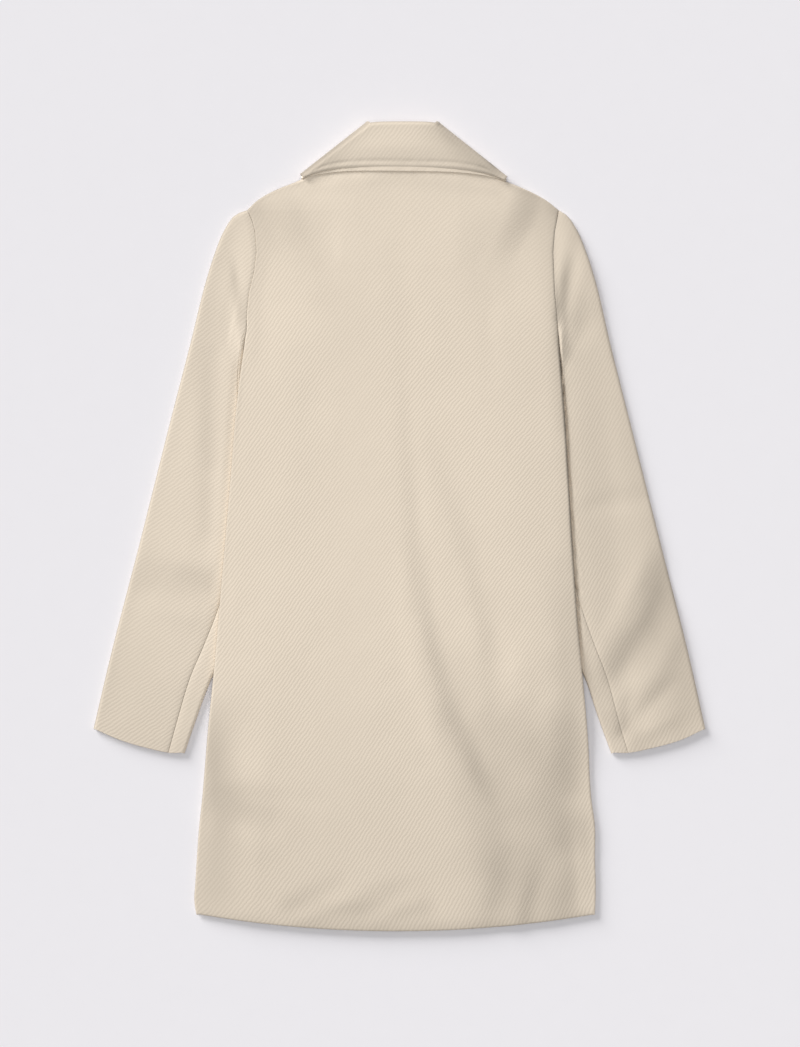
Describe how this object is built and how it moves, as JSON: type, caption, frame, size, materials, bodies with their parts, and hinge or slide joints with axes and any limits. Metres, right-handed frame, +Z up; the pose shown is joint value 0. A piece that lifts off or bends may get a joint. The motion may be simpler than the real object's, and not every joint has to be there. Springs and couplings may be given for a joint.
{
  "type": "double-breasted coat, laid flat",
  "caption": "Thigh-length double-breasted twill coat with turn-down collar, set-in two-piece sleeves and side vents, laid flat face down.",
  "frame": {"origin": "centre of the box on the surface that the coat lies on", "axes": "+X towards the wearer's right, +Y from hem to collar, +Z up out of the surface, through the front to the back"},
  "size_m": [0.735, 0.972, 0.0204],
  "materials": {
    "twill": "matte",
    "button": "satin"
  },
  "bodies": {
    "root": {"back": "twill", "front_left": "twill", "front_right": "twill", "upper_sleeve_left": "twill", "upper_sleeve_right": "twill", "under_sleeve_left": "twill", "under_sleeve_right": "twill", "upper_collar": "twill", "under_collar": "twill", "button_left_1": "button", "button_left_2": "button", "button_left_3": "button", "button_right_1": "button", "button_right_2": "button", "button_right_3": "button"}
  },
  "joints": []
}
